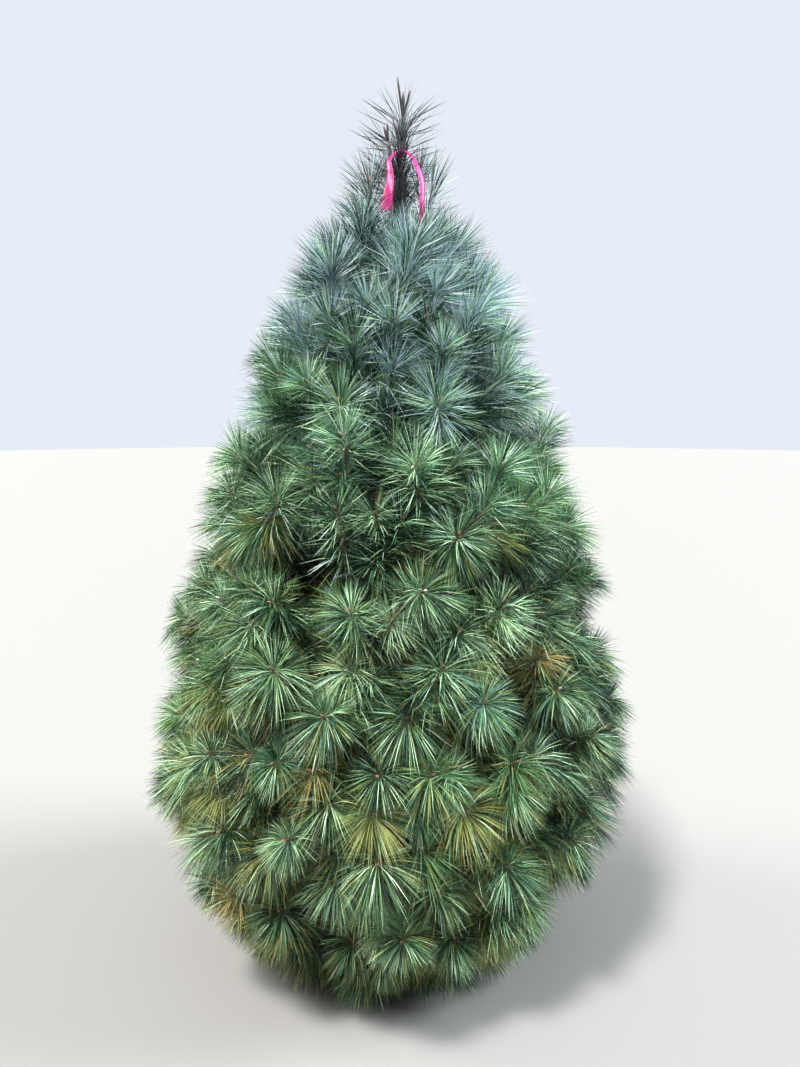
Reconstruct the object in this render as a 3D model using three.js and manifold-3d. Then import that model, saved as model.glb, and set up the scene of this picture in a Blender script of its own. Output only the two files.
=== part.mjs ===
// A sheared white pine, rooted in level ground.
// Millimetres, +Z up, -Y towards the viewer. The origin is the middle of the flat cut under the trunk.
import * as THREE from "three";
import { mergeVertices } from "three/addons/utils/BufferGeometryUtils.js";
import Module from "manifold-3d";

const wasm = await Module();
wasm.setup();

// Crown outline, where the tips of the needles reach
const CROWN_TOP = 2420;
const BELLY_HEIGHT = 520;
const BELLY_RADIUS = 705;
const UPPER_POWER = 1.63; // how full the crown stays on its way up to the leader
const LOWER_POWER = 1.5;
const FOOT_DRAW_IN = 0.42; // share of the belly's radius lost on the way down to the ground
const LEFT_SWELL = 0.05; // the lower crown stands out further on -X than on +X
const SWELL_TOP = 1300;
const GROUND_GAP = 12; // no needle hangs lower than this

// Trunk
const FORK_HEIGHT = 2150; // where the leader leaves the trunk's cut top
const TRUNK_RADIUS = 37; // above the root flare
const FORK_RADIUS = 9;
const FLARE_RADIUS = 20; // added at the ground
const FLARE_HEIGHT = 75;
const FLARE_LOBES = 5;
const LOBE_DEPTH = 0.13; // of the trunk's radius, at the ground
const TRUNK_SWEEP = 9; // sideways sweep of the trunk's middle
const TRUNK_WAVE = 5.4; // its wave from front to back
const TRUNK_LEAN = 8; // of its top towards +X
const TRUNK_SIDES = 12;
const TRUNK_STEPS = 11;
const RING_CROWDING = 1.5; // towards the root flare

// Whorls of boughs, from the ground up. Boughs leave the trunk at the height attach. Their masses share
// the space under a cone that meets the outline at the height roof and rises outwards by roofSlope.
// Shoots rise by lift degrees, and the first bough is turned by turn degrees from the front.
const WHORLS = [
  { boughs: 6, attach: 105, roof: 400, roofSlope: 0.35, lift: 28, turn: 0, limbs: true },
  { boughs: 6, attach: 310, roof: 800, roofSlope: 0.5, lift: 30, turn: 27, limbs: true },
  { boughs: 6, attach: 650, roof: 1190, roofSlope: 0.6, lift: 35, turn: 3, limbs: true },
  { boughs: 5, attach: 1010, roof: 1530, roofSlope: 0.8, lift: 45, turn: 20, limbs: true },
  { boughs: 4, attach: 1370, roof: 1830, roofSlope: 1.0, lift: 55, turn: 45, limbs: false },
  { boughs: 4, attach: 1700, roof: 2195, roofSlope: 0, lift: 72, turn: 0, limbs: false },
];
const SPACE_GAP = 8; // kept free on each side of the border between two spaces

// Boughs and the stems that go on from them
const BOUGH_RADIUS = 10.5; // at the lowest whorl's seat on the trunk
const BOUGH_THINNING = 1.1; // lost with each whorl
const BOUGH_TAPER = 0.5; // share of its seat's radius left where the stem ends
const BOUGH_BEND_OUT = 0.55; // where the bough's line bends upwards, as a share of its way out
const BOUGH_BEND_UP = 0.42; // and of its rise
const MASS_DEPTH = 300; // from the outline in to the bough's tip
const STEM_DEPTH = 200; // from the outline in to the stem's end
const FIRST_SEAM = 0.3; // a bough is at least this share of its line
const LIMB_SIDES = 5;
const JOINT_GAP = 0.3;

// Twigs: rows and columns of buds over the crown, each on a twig from the stem
const SPRAY_WIDTH = 214; // crown surface that one spray covers
const SPRAY_HEIGHT = 180;
const BUD_DEPTH = 112; // from the outline in to a shoot's bud
const DEPTH_SCATTER = 0.12;
const COLUMN_SCATTER = 0.24; // share of a column's width
const ROW_SCATTER = 0.3; // share of a row's height
const LIFT_SCATTER = 14; // degrees
const SWING_SCATTER = 0.3; // radians
const SWING_SHARE = 0.8; // how far a shoot turns outwards with its place on the crown
const FIRST_TWIG = 0.45; // where the twigs start on a stem that has no bough below it
const LAST_TWIG = 0.95;
const TWIG_SPREAD = 0.75; // the twigs to the sides leave the stem earlier
const TWIG_BEND = 0.45;
const TWIG_RADIUS = 4;
const TWIG_MIDDLE = 0.55;

// Sprays of needles
const NEEDLE_LENGTH = 185;
const LENGTH_SCATTER = 0.1;
const NEEDLE_DROOP = 14;
const TEETH = 8; // needles of one spray, forward and sideways by turns
const TOOTH_SCATTER = 0.3; // share of the way from one needle to the next
const FORWARD_SPREAD = 38; // degrees from the shoot
const SIDE_SPREAD = 72;
const SPREAD_SCATTER = 14;
const FORWARD_SHARE = 0.8; // a forward needle's length as a share of a sideways one's
const NOTCH_SHARE = 0.36; // how far out the notch between two needles lies
const SHORTEST_SHARE = 0.5; // a needle that has to be cut back further than this is skipped
const CUT_BACK = 0.94; // one step of cutting a needle back to its space
const BUD_LENGTH = 14;
const HUB_DEPTH = 6; // from a bud back to where its twig ends and the blade starts
const SAME_SHARE = 1e-6; // keeps a notch before the next tooth

// Core of a dense mass
const CORE_OUTER_DEPTH = 150;
const CORE_INNER_DEPTH = 260;
const CORE_OUTER_SHARE = 0.58; // of the crown's radius, near the top where that is less
const CORE_INNER_SHARE = 0.76;
const CORE_FILL = 0.96; // share of the space's width and height
const CORE_LUMPS = 0.02;
const CORE_ROUNDNESS = 0.55; // 1 is an ellipsoid, and towards 0 it becomes a box

// Leader above the fork
const LEADER_TOP = 2302;
const LEADER_LEAN = 6;
const LEADER_TAPER = 0.45;
const SIDE_LEADER_FROM = 2172;
const SIDE_LEADER_TOP = 2238;
const SIDE_LEADER_OUT = 34; // towards -X
const SIDE_LEADER_FORWARD = 8;
const SIDE_LEADER_ELBOW = 12; // above its foot
const SIDE_LEADER_RADIUS = 5.5;
const SIDE_LEADER_TAPER = 0.3;
const CANDLE_LENGTHS = [88, 62, 66];
const SIDE_CANDLE_LENGTHS = [46, 38];
const CANDLE_RADIUS = 3.4;
const CANDLE_TAPER = 0.6;
const CANDLE_SPREAD = 11; // degrees, for all but the middle one
const MIDDLE_SPREAD = 1.6;
const CANDLE_FORWARD = 0.3; // share of its lean
const CANDLE_ROOT = 0.2; // share of its length sunk in the leader
const LEADER_NEEDLE = 118;
const LEADER_NEEDLE_RADIUS = 3.6;
const LEADER_NEEDLES = { from: 0.35, count: 32 };
const SIDE_LEADER_NEEDLES = { from: 0.5, count: 12 };
const LOWEST_SPREAD = 82; // degrees from the leader
const HIGHEST_SPREAD = 32;
const GOLDEN_TURN = 2.4; // turn from one needle to the next, in radians
const TURN_SCATTER = 0.5;
const LEADER_SEED = 77;

const WELD_DISTANCE = 1e-3;

const BARK = new THREE.MeshStandardMaterial({ color: 0x5a4a3e, roughness: 0.95 });
const NEEDLES = [0x4b6a3f, 0x47704d, 0x467356, 0x48785c].map(
  (color) => new THREE.MeshStandardMaterial({ color, roughness: 0.6, flatShading: true }),
);

// Random numbers from 0 to 1 that are the same on every run.
function seeded(seed) {
  let state = seed >>> 0;
  return () => {
    state = (state + 0x6d2b79f5) >>> 0;
    let t = state;
    t = Math.imul(t ^ (t >>> 15), t | 1);
    t ^= t + Math.imul(t ^ (t >>> 7), t | 61);
    return ((t ^ (t >>> 14)) >>> 0) / 4294967296;
  };
}

const about = (random, middle, share) => middle * (1 + share * (2 * random() - 1));
const scattered = (random, range) => range * (random() - 0.5);

// A geometry with one vertex at each corner.
function welded(geometry) {
  const bare = geometry.clone();
  bare.deleteAttribute("normal");
  bare.deleteAttribute("uv");
  return mergeVertices(bare, WELD_DISTANCE);
}

// A closed three.js geometry as a manifold-3d solid.
function solidOf(geometry) {
  const closed = welded(geometry);
  return new wasm.Manifold(
    new wasm.Mesh({
      numProp: 3,
      vertProperties: closed.getAttribute("position").array,
      triVerts: new Uint32Array(closed.index.array),
    }),
  );
}

// The outer surface of the largest body: scraps are dropped, and hollows that fusing sealed are filled.
function largestBody(solid) {
  return solid.decompose().reduce((best, body) => (body.volume() > best.volume() ? body : best));
}

function fuse(solids) {
  return largestBody(wasm.Manifold.union(solids));
}

function meshOf(name, solid, material) {
  const { vertProperties, triVerts } = solid.getMesh();
  const geometry = new THREE.BufferGeometry();
  geometry.setAttribute("position", new THREE.BufferAttribute(vertProperties, 3));
  geometry.setIndex(new THREE.BufferAttribute(triVerts, 1));
  geometry.computeVertexNormals();
  const mesh = new THREE.Mesh(geometry, material);
  mesh.name = name;
  return mesh;
}

// Two directions square to a line, and to each other.
function squareTo(along) {
  const side = new THREE.Vector3(0.13, 0.09, 1).cross(along).normalize();
  return [side, along.clone().cross(side)];
}

// The point at a distance from a shoot's hub, turned round its axis and spread from it.
function fromHub(hub, axis, turn, spread, distance) {
  const [side, other] = squareTo(axis);
  return hub
    .clone()
    .addScaledVector(axis, Math.cos(spread) * distance)
    .addScaledVector(side, Math.sin(spread) * Math.cos(turn) * distance)
    .addScaledVector(other, Math.sin(spread) * Math.sin(turn) * distance);
}

// A tapering limb along part of a curve: a closed cylinder whose rings are carried onto the curve.
function limb(curve, from, to, radiusAt, steps) {
  const geometry = new THREE.CylinderGeometry(1, 1, 1, LIMB_SIDES, steps);
  const position = geometry.getAttribute("position");
  for (let i = 0; i < position.count; i++) {
    const share = position.getY(i) + 0.5;
    const at = from + (to - from) * share;
    const [side, other] = squareTo(curve.getTangent(at));
    const radius = radiusAt(share);
    const point = curve
      .getPoint(at)
      .addScaledVector(side, position.getZ(i) * radius)
      .addScaledVector(other, position.getX(i) * radius);
    position.setXYZ(i, point.x, point.y, point.z);
  }
  return solidOf(geometry);
}

// How far from the axis the needle tips reach, at a height and an azimuth from +X.
function crownReach(height, azimuth) {
  const above = Math.max(0, height - BELLY_HEIGHT) / (CROWN_TOP - BELLY_HEIGHT);
  const below = Math.max(0, BELLY_HEIGHT - height) / BELLY_HEIGHT;
  const drawnIn = Math.min(1, above) ** UPPER_POWER + FOOT_DRAW_IN * below ** LOWER_POWER;
  const swell = LEFT_SWELL * Math.cos(azimuth) * Math.max(0, 1 - height / SWELL_TOP);
  return BELLY_RADIUS * (1 - drawnIn) * (1 - swell);
}

function trunkRadius(height, azimuth = 0) {
  const share = height / FORK_HEIGHT;
  const flare = Math.exp(-height / FLARE_HEIGHT);
  const plain = TRUNK_RADIUS + (FORK_RADIUS - TRUNK_RADIUS) * share + FLARE_RADIUS * flare;
  return plain * (1 + LOBE_DEPTH * flare * Math.cos(FLARE_LOBES * azimuth));
}

function trunkCentre(height) {
  const share = height / FORK_HEIGHT;
  return new THREE.Vector3(
    TRUNK_LEAN * share ** 2 - TRUNK_SWEEP * Math.sin(Math.PI * share),
    TRUNK_WAVE * Math.sin(2 * Math.PI * share),
    height,
  );
}

// The trunk with level rings, so that its foot and its top are flat. They lie closer in the root flare.
function trunkSolid(extra) {
  const geometry = new THREE.CylinderGeometry(1, 1, 1, TRUNK_SIDES, TRUNK_STEPS);
  const position = geometry.getAttribute("position");
  for (let i = 0; i < position.count; i++) {
    const height = FORK_HEIGHT * (position.getY(i) + 0.5) ** RING_CROWDING;
    const [x, y] = [position.getZ(i), position.getX(i)];
    const radius = trunkRadius(height, Math.atan2(y, x)) + extra;
    const centre = trunkCentre(height);
    position.setXYZ(i, centre.x + x * radius, centre.y + y * radius, height);
  }
  return solidOf(geometry);
}

// The space of one mass: a sector of a whorl, in a frame turned so that the sector's middle is +X.
class Space {
  constructor(index, number) {
    this.index = index;
    this.whorl = WHORLS[index];
    this.angle = (2 * Math.PI) / this.whorl.boughs;
    this.azimuth = THREE.MathUtils.degToRad(this.whorl.turn) + number * this.angle - Math.PI / 2;
    this.origin = trunkCentre(this.whorl.attach).setZ(0);
    this.random = seeded(1000 * (index + 1) + number);
    this.stemEnd = this.place(0.5, 0, STEM_DEPTH, (CORE_OUTER_SHARE + CORE_INNER_SHARE) / 2);
    this.seam = Math.max(FIRST_SEAM, 1 - (MASS_DEPTH - STEM_DEPTH) / this.stemEnd.x);
  }

  reach(height, turn) {
    return crownReach(height, this.azimuth + turn);
  }

  static coneAt(whorl, radius) {
    return whorl.roof - whorl.roofSlope * (crownReach(whorl.roof, Math.PI / 2) - radius);
  }

  floorAt(radius) {
    return this.index ? Space.coneAt(WHORLS[this.index - 1], radius) + SPACE_GAP : GROUND_GAP;
  }

  roofAt(radius) {
    return Space.coneAt(this.whorl, radius) - SPACE_GAP;
  }

  // The point at a share of the space's height, a turn from its middle and a depth in from the outline.
  place(share, turn, depth, depthShare = 1) {
    const passes = 8;
    let height = this.whorl.roof;
    let radius = 0;
    for (let pass = 0; pass < passes; pass++) {
      const reach = this.reach(height, turn);
      radius = reach - Math.min(depth, depthShare * reach);
      height = this.floorAt(radius) + share * (this.roofAt(radius) - this.floorAt(radius));
    }
    return new THREE.Vector3(radius * Math.cos(turn), radius * Math.sin(turn), height);
  }

  holds(point) {
    const radius = Math.hypot(point.x, point.y);
    const turn = Math.atan2(point.y, point.x);
    const toSide = radius * Math.sin(Math.max(0, this.angle / 2 - Math.abs(turn)));
    return (
      toSide > SPACE_GAP &&
      point.z > this.floorAt(radius) &&
      point.z < this.roofAt(radius) &&
      radius < this.reach(point.z, turn) &&
      radius > trunkRadius(point.z) + 2 * SPACE_GAP
    );
  }

  // The limb's line, from the trunk's axis to the end of the stem that carries the sprays.
  limbLine() {
    const { attach } = this.whorl;
    const rise = this.stemEnd.z - attach;
    return new THREE.QuadraticBezierCurve3(
      new THREE.Vector3(0, 0, attach),
      new THREE.Vector3(BOUGH_BEND_OUT * this.stemEnd.x, 0, attach + BOUGH_BEND_UP * rise),
      this.stemEnd,
    );
  }

  limbRadius(at) {
    return (BOUGH_RADIUS - BOUGH_THINNING * this.index) * (1 - (1 - BOUGH_TAPER) * at);
  }

  // The twigs' rule: where each leaves the stem, its bud, and the way its shoot points.
  twigs() {
    const line = this.limbLine();
    const first = this.whorl.limbs ? this.seam : FIRST_TWIG;
    const slant = this.place(0, 0, BUD_DEPTH).distanceTo(this.place(1, 0, BUD_DEPTH));
    const rows = Math.round(slant / SPRAY_HEIGHT);
    const made = [];
    for (let row = 0; row < rows; row++) {
      const share = (row + 0.5) / rows;
      const width = this.place(share, 0, BUD_DEPTH).x * this.angle;
      const columns = Math.max(1, Math.round(width / SPRAY_WIDTH));
      for (let column = 0; column < columns; column++) {
        const across = (column + 0.5 + scattered(this.random, COLUMN_SCATTER)) / columns - 0.5;
        const turn = across * this.angle;
        const height = share + scattered(this.random, ROW_SCATTER) / rows;
        const bud = this.place(height, turn, about(this.random, BUD_DEPTH, DEPTH_SCATTER));
        const lift = THREE.MathUtils.degToRad(this.whorl.lift + scattered(this.random, LIFT_SCATTER));
        const swing = turn * SWING_SHARE + scattered(this.random, SWING_SCATTER);
        const axis = new THREE.Vector3(
          Math.cos(lift) * Math.cos(swing),
          Math.cos(lift) * Math.sin(swing),
          Math.sin(lift),
        );
        const early = TWIG_SPREAD * 2 * Math.abs(across) * this.random();
        made.push({ from: line.getPoint(first + (1 - first) * (LAST_TWIG - early)), bud, axis });
      }
    }
    return made;
  }
}

// The edge of a toothed blade round a shoot, its needles forward and sideways by turns.
// Each point has its turn round the shoot as a share.
function bladeEdge(hub, axis, roll, holds, random) {
  const edge = [];
  const notchSpread = THREE.MathUtils.degToRad((FORWARD_SPREAD + SIDE_SPREAD) / 2);
  for (let tooth = 0; tooth < TEETH; tooth++) {
    const forward = tooth % 2 === 1;
    const share = (tooth + 0.5 + scattered(random, TOOTH_SCATTER)) / TEETH;
    const degrees = (forward ? FORWARD_SPREAD : SIDE_SPREAD) + scattered(random, SPREAD_SCATTER);
    const spread = THREE.MathUtils.degToRad(degrees);
    const full = about(random, NEEDLE_LENGTH * (forward ? FORWARD_SHARE : 1), LENGTH_SCATTER);
    const droop = NEEDLE_DROOP * random();
    for (let length = full; length > SHORTEST_SHARE * full; length *= CUT_BACK) {
      const tip = fromHub(hub, axis, roll + share * 2 * Math.PI, spread, length);
      tip.z -= droop;
      if (!holds(tip)) continue;
      edge.push({ share, point: tip });
      break;
    }
    const notch = (tooth + 1) / TEETH;
    const notchTurn = roll + notch * 2 * Math.PI;
    const point = fromHub(hub, axis, notchTurn, notchSpread, NOTCH_SHARE * NEEDLE_LENGTH);
    edge.push({ share: notch - SAME_SHARE, point });
  }
  return edge;
}

// A three-sided ring of the twig.
function twigRing(centre, along, roll) {
  return [1 / 6, 3 / 6, 5 / 6].map((share) => ({
    share,
    point: fromHub(centre, along, roll + share * 2 * Math.PI, Math.PI / 2, TWIG_RADIUS),
  }));
}

// The faces between two loops of points round a shoot, each sorted by its points' shares of a turn.
function bridge(lower, upper) {
  const faces = [];
  const shareOf = (loop, k) => loop[k % loop.length].share + Math.floor(k / loop.length);
  const upperSteps = upper.length > 1 ? upper.length : 0;
  let [i, j] = [0, 0];
  while (i < lower.length || j < upperSteps) {
    const [low, high] = [lower[i % lower.length], upper[j % upper.length]];
    const lowerFirst = shareOf(lower, i + 1) <= shareOf(upper, j + 1);
    if (j >= upperSteps || (i < lower.length && lowerFirst)) {
      i += 1;
      faces.push(low.index, lower[i % lower.length].index, high.index);
    } else {
      j += 1;
      faces.push(low.index, upper[j % upper.length].index, high.index);
    }
  }
  return faces;
}

// A shoot: a three-sided twig that widens into a toothed blade behind its bud, as one closed surface.
function shootSolid({ from, bud, axis }, holds, random) {
  const bend = bud.clone().addScaledVector(axis, -TWIG_BEND * from.distanceTo(bud));
  const line = new THREE.QuadraticBezierCurve3(from, bend, bud);
  const roll = random() * 2 * Math.PI;
  const loops = [
    ...[0, TWIG_MIDDLE].map((at) => twigRing(line.getPoint(at), line.getTangent(at), roll)),
    twigRing(bud.clone().addScaledVector(axis, -HUB_DEPTH), axis, roll),
    bladeEdge(bud, axis, roll, holds, random),
    [{ share: 0, point: bud.clone().addScaledVector(axis, BUD_LENGTH) }],
  ];
  loops.flat().forEach((corner, index) => (corner.index = index));
  const faces = [0, 2, 1];
  for (let k = 0; k + 1 < loops.length; k++) faces.push(...bridge(loops[k], loops[k + 1]));
  const points = loops.flat().map(({ point }) => point);
  return solidOf(new THREE.BufferGeometry().setFromPoints(points).setIndex(faces));
}

// The core of a dense mass: a lumpy cushion behind the sprays, laid between the borders of the space.
function coreSolid(space) {
  const geometry = welded(new THREE.SphereGeometry(1, 8, 6));
  const position = geometry.getAttribute("position");
  const squared = (value) => (Math.sign(value) * Math.abs(value) ** CORE_ROUNDNESS) / 2;
  for (let i = 0; i < position.count; i++) {
    const fill = about(space.random, CORE_FILL, CORE_LUMPS);
    const outwards = squared(position.getX(i)) + 0.5;
    const depth = CORE_INNER_DEPTH + outwards * (CORE_OUTER_DEPTH - CORE_INNER_DEPTH);
    const depthShare = CORE_INNER_SHARE + outwards * (CORE_OUTER_SHARE - CORE_INNER_SHARE);
    const turn = fill * squared(position.getY(i)) * space.angle;
    const point = space.place(0.5 + fill * squared(position.getZ(i)), turn, depth, depthShare);
    position.setXYZ(i, point.x, point.y, point.z);
  }
  return solidOf(geometry);
}

function stemSolid(space) {
  const line = space.limbLine();
  const from = space.whorl.limbs ? space.seam + JOINT_GAP / line.getLength() : 0;
  return limb(line, from, 1, (share) => space.limbRadius(from + (1 - from) * share), 2);
}

function foliageSolid(space, trunkAsCut) {
  const stem = stemSolid(space);
  const twigs = space.twigs();
  const holds = (point) => space.holds(point);
  return fuse([
    space.whorl.limbs ? stem : largestBody(stem.subtract(trunkAsCut)),
    coreSolid(space),
    ...twigs.map((twig) => shootSolid(twig, holds, space.random)),
  ]);
}

function boughSolid(space, trunkAsCut) {
  const radiusAt = (share) => space.limbRadius(space.seam * share);
  const whole = limb(space.limbLine(), 0, space.seam, radiusAt, 3);
  return largestBody(whole.subtract(trunkAsCut));
}

// One sector of a whorl: its bough and its foliage, in a group that is turned and set on the trunk's axis.
function sector(index, number, grownTrunk) {
  const space = new Space(index, number);
  const group = new THREE.Group();
  group.position.copy(space.origin);
  group.rotation.z = space.azimuth;
  const trunkAsCut = grownTrunk
    .translate([-space.origin.x, -space.origin.y, 0])
    .rotate([0, 0, -THREE.MathUtils.radToDeg(space.azimuth)]);
  const place = `${index + 1}_${number + 1}`;
  if (space.whorl.limbs) group.add(meshOf(`bough_${place}`, boughSolid(space, trunkAsCut), BARK));
  const green = NEEDLES[Math.min(index, NEEDLES.length - 1)];
  group.add(meshOf(`foliage_${place}`, foliageSolid(space, trunkAsCut), green));
  return group;
}

// Bare buds that stand up from a leader's tip, the first one in the middle.
function candles(tip, lengths) {
  return lengths.map((length, i) => {
    const lean = THREE.MathUtils.degToRad(i ? CANDLE_SPREAD : MIDDLE_SPREAD);
    const across = Math.sin(lean) * Math.cos(i * Math.PI);
    const way = new THREE.Vector3(across, CANDLE_FORWARD * Math.sin(lean), Math.cos(lean));
    const root = tip.clone().addScaledVector(way, -CANDLE_ROOT * length);
    const line = new THREE.LineCurve3(root, tip.clone().addScaledVector(way, length));
    return limb(line, 0, 1, (share) => CANDLE_RADIUS * (1 - CANDLE_TAPER * share), 1);
  });
}

// A single needle, thickest a third of the way out.
function needleSolid(root, tip) {
  const along = tip.clone().sub(root).normalize();
  const widest = root.clone().addScaledVector(along, root.distanceTo(tip) / 3);
  const turns = [0, 1, 2].map((k) => (k * 2 * Math.PI) / 3);
  const ring = turns.map((turn) => fromHub(widest, along, turn, Math.PI / 2, LEADER_NEEDLE_RADIUS));
  return wasm.Manifold.hull([root, tip, ...ring].map((point) => point.toArray()));
}

// Needles round the upper part of a leader, most spread at their lowest.
function needlesOn(line, { from, count }, random) {
  return Array.from({ length: count }, (_, i) => {
    const up = (i + random()) / count;
    const root = line.getPoint(from + (1 - from) * up);
    const along = line.getTangent(from + (1 - from) * up);
    const drawnIn = (HIGHEST_SPREAD - LOWEST_SPREAD) * up;
    const spread = THREE.MathUtils.degToRad(LOWEST_SPREAD + drawnIn + scattered(random, SPREAD_SCATTER));
    const turn = i * GOLDEN_TURN + scattered(random, TURN_SCATTER);
    const length = about(random, LEADER_NEEDLE, LENGTH_SCATTER);
    return needleSolid(root, fromHub(root, along, turn, spread, length));
  });
}

// The leader and the side leader that forks from it, with their candles and needles, in one mass.
function leaderSolid() {
  const random = seeded(LEADER_SEED);
  const foot = trunkCentre(FORK_HEIGHT);
  foot.z += JOINT_GAP;
  const top = new THREE.Vector3(foot.x + LEADER_LEAN, foot.y, LEADER_TOP);
  const upright = new THREE.Vector3(foot.x, foot.y, (foot.z + top.z) / 2);
  const stem = new THREE.QuadraticBezierCurve3(foot, upright, top);
  const sideFoot = stem.getPoint((SIDE_LEADER_FROM - FORK_HEIGHT) / (LEADER_TOP - FORK_HEIGHT));
  const sideTop = new THREE.Vector3(foot.x - SIDE_LEADER_OUT, foot.y - SIDE_LEADER_FORWARD, SIDE_LEADER_TOP);
  const elbow = new THREE.Vector3(sideTop.x, sideTop.y, sideFoot.z + SIDE_LEADER_ELBOW);
  const sideStem = new THREE.QuadraticBezierCurve3(sideFoot, elbow, sideTop);
  return fuse([
    limb(stem, 0, 1, (share) => FORK_RADIUS * (1 - LEADER_TAPER * share), 2),
    limb(sideStem, 0, 1, (share) => SIDE_LEADER_RADIUS * (1 - SIDE_LEADER_TAPER * share), 2),
    ...candles(top, CANDLE_LENGTHS),
    ...candles(sideTop, SIDE_CANDLE_LENGTHS),
    ...needlesOn(stem, LEADER_NEEDLES, random),
    ...needlesOn(sideStem, SIDE_LEADER_NEEDLES, random),
  ]);
}

const tree = new THREE.Group();
const grownTrunk = trunkSolid(JOINT_GAP);
tree.add(meshOf("trunk", trunkSolid(0), BARK));
WHORLS.forEach((whorl, index) => {
  for (let number = 0; number < whorl.boughs; number++) tree.add(sector(index, number, grownTrunk));
});
tree.add(meshOf("foliage_leader", leaderSolid(), NEEDLES.at(-1)));

export default tree;
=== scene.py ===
# A sheared white pine: bark, boughs, twigs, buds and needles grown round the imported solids.
# Metres, +Z up, -Y towards the viewer.
import math

import bpy
import numpy as np
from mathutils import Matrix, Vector, noise


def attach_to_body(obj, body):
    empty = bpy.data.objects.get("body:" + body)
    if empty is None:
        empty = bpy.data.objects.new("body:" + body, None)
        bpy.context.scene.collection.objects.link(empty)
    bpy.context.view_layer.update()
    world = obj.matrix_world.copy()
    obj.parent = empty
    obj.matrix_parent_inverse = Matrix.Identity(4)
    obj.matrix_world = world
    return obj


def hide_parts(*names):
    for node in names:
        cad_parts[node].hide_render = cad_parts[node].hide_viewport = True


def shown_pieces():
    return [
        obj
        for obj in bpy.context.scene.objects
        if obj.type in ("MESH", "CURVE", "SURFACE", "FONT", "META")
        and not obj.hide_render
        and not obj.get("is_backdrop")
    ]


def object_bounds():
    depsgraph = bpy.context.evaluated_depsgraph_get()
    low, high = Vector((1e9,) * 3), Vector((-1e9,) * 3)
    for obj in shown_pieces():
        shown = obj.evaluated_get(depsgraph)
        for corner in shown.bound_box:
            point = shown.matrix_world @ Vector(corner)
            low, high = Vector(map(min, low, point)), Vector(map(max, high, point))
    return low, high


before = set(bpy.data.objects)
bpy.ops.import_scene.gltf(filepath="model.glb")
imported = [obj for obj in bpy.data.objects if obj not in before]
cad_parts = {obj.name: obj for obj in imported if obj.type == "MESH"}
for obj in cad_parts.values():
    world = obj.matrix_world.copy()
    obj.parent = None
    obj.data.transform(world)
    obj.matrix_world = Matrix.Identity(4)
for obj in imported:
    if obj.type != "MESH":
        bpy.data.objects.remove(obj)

cad_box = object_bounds()

# Crown outline, where the tips of the needles reach
CROWN_TOP = 2.42
BELLY_HEIGHT = 0.52
BELLY_RADIUS = 0.705
UPPER_POWER = 1.63  # how full the crown stays on its way up to the leader
LOWER_POWER = 1.5
FOOT_DRAW_IN = 0.42  # share of the belly's radius lost on the way down to the ground
LEFT_SWELL = 0.05  # the lower crown stands out further on -X than on +X
SWELL_TOP = 1.3
GROUND_GAP = 0.012  # no needle hangs lower than this

# Trunk
FORK_HEIGHT = 2.15  # where the leader leaves the trunk
TRUNK_RADIUS = 0.037  # above the root flare
FORK_RADIUS = 0.009
FLARE_RADIUS = 0.02  # added at the ground
FLARE_HEIGHT = 0.075
FLARE_LOBES = 5
LOBE_DEPTH = 0.13  # of the trunk's radius, at the ground
TRUNK_SWEEP = 0.009  # sideways sweep of the trunk's middle
TRUNK_WAVE = 0.0054  # its wave from front to back
TRUNK_LEAN = 0.008  # of its top towards +X
TRUNK_SIDES = 36
TRUNK_RINGS = 200
RING_CROWDING = 1.2  # of its rings towards the ground
FURROW_DEPTH = 0.0016
FURROWS_ROUND = 3  # how fine its bark is round it
FURROWS_ALONG = 9
PLATE_SCALE = 2.1
CRACK_SCALE = 5.3  # of the finer cracks in its plates
CRACK_SHARE = 0.5
COLLAR_DEPTH = 0.002  # swelling of the trunk where a whorl of boughs leaves it
COLLAR_HEIGHT = 0.03

# Whorls of boughs, from the ground up: their number, where they leave the trunk, the height and slope
# of the cone over their masses, the lift of their shoots and the turn of the first bough, in degrees.
WHORLS = [
    dict(boughs=6, attach=0.105, roof=0.400, slope=0.35, lift=28, turn=0, limbs=True),
    dict(boughs=6, attach=0.310, roof=0.800, slope=0.5, lift=30, turn=27, limbs=True),
    dict(boughs=6, attach=0.650, roof=1.190, slope=0.6, lift=35, turn=3, limbs=True),
    dict(boughs=5, attach=1.010, roof=1.530, slope=0.8, lift=45, turn=20, limbs=True),
    dict(boughs=4, attach=1.370, roof=1.830, slope=1.0, lift=55, turn=45, limbs=False),
    dict(boughs=4, attach=1.700, roof=2.195, slope=0, lift=72, turn=0, limbs=False),
]
SLOTS = ["needles_low", "needles_middle", "needles_upper", "needles_top"]
SPACE_GAP = 0.008  # kept free on each side of the border between two spaces
SETTLING_ROUNDS = 8  # until a place's height and radius agree

# Boughs and the stems that go on from them
BOUGH_RADIUS = 0.0105  # at the lowest whorl's seat on the trunk
BOUGH_THINNING = 0.0011  # lost with each whorl
BOUGH_TAPER = 0.5  # share of its seat's radius left where the stem ends
BEND_OUT = 0.55  # where a bough's line bends upwards, as a share of its way out
BEND_UP = 0.42  # and of its rise
MASS_DEPTH = 0.3  # from the outline in to the bough's tip
STEM_DEPTH = 0.2  # from the outline in to the stem's end
STEM_SHARE = 0.67  # of the crown's radius, near the top where that is less
SHORTEST_BOUGH = 0.3  # share of its line
BOUGH_SIDES = 12
BOUGH_RINGS = 24
BOUGH_POINTS = 200  # of its line, from which the rings are taken
BOUGH_ROOT = 0.8  # share of the trunk's radius at which it starts
ROUGH_ALONG = 25  # how fine a bough's bark is along it
ROUGH_APART = 7  # so that no two boughs have the same bark
ROUGH_SCALE = 2.2
ROUGH_DEPTH = 0.08  # share of its radius
STEM_POINTS = 100
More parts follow.
